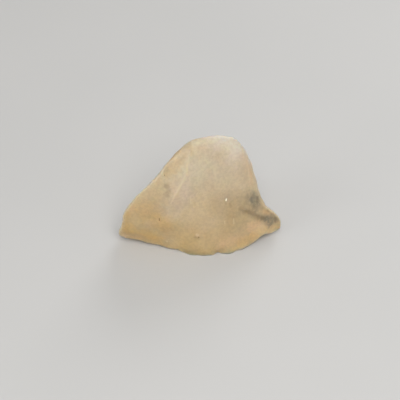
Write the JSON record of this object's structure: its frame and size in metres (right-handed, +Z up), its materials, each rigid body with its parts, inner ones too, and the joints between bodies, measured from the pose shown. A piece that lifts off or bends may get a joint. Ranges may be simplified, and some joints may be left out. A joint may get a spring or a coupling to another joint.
{
  "type": "tektite",
  "caption": "Wind-smoothed fragment of pale yellow, milky translucent impact glass, a leaning tooth shape with a pointed tip and a low toe, that stands on a small flat spot.",
  "frame": {"origin": "centre of the bounding box, at the height of the flat spot that the stone rests on", "axes": "+X along the length, from the pointed tip to the rounded toe; +Y from the steep broad front face to the back; +Z up, from the flat spot to the crest"},
  "size_m": [0.0304, 0.0164, 0.0216],
  "materials": {
    "impact_glass": "silky wind-polished frosting over milky, pale straw-yellow see-through silica glass with smoky wisps and small white grains sealed inside"
  },
  "bodies": {
    "root": {"tektite": "impact_glass"}
  },
  "joints": []
}
